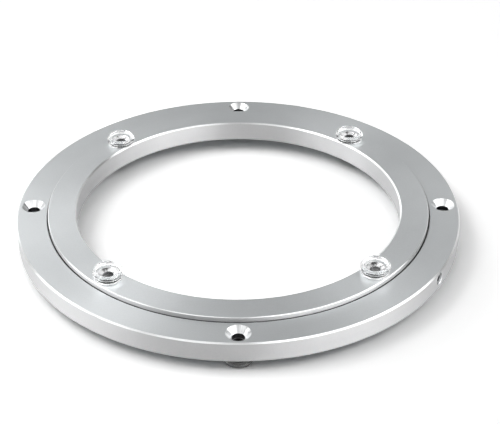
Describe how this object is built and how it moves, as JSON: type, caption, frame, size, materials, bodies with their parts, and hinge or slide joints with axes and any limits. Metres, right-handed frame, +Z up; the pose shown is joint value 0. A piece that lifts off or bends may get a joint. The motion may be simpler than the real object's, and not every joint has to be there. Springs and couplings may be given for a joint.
{
  "type": "lazy susan bearing",
  "caption": "Flat aluminium turntable bearing: an inner ring with clear tray pads turns on balls inside an outer ring with countersunk holes and clear feet.",
  "frame": {"origin": "on the floor under the centre of the rings, where the four feet stand", "axes": "+Z up along the turning axis, -Y towards the front of the picture, +X to the right"},
  "size_m": [0.2, 0.2, 0.019],
  "materials": {
    "ring_aluminium": "satin, fine turned grain, clear anodised",
    "clear_plastic": "clear, glossy, slightly soft moulded plastic",
    "screw_steel": "bright zinc plated",
    "plug_steel": "bright zinc plated",
    "ball_steel": "polished",
    "cage_plastic": "plain dark nylon"
  },
  "bodies": {
    "base": {"outer_ring": "ring_aluminium", "ball_plug": "plug_steel", "foot_right": "clear_plastic", "foot_rear": "clear_plastic", "foot_left": "clear_plastic", "foot_front": "clear_plastic", "foot_screw_right": "screw_steel", "foot_screw_rear": "screw_steel", "foot_screw_left": "screw_steel", "foot_screw_front": "screw_steel"},
    "turntable": {"inner_ring": "ring_aluminium", "pad_rear_right": "clear_plastic", "pad_rear_left": "clear_plastic", "pad_front_left": "clear_plastic", "pad_front_right": "clear_plastic", "pad_screw_rear_right": "screw_steel", "pad_screw_rear_left": "screw_steel", "pad_screw_front_left": "screw_steel", "pad_screw_front_right": "screw_steel"},
    "cage": {"ball_cage": "cage_plastic", "steel_balls": "ball_steel"}
  },
  "joints": [
    {"name": "ring_turn", "type": "hinge", "parent": "base", "child": "turntable", "pos_m": [0, 0, 0.0094], "axis": [0, 0, 1], "continuous": true},
    {"name": "cage_turn", "type": "hinge", "parent": "base", "child": "cage", "pos_m": [0, 0, 0.0094], "axis": [0, 0, 1], "continuous": true}
  ],
  "couplings": [
    {"joint": "cage_turn", "follows": "ring_turn", "ratio": 0.4885}
  ]
}
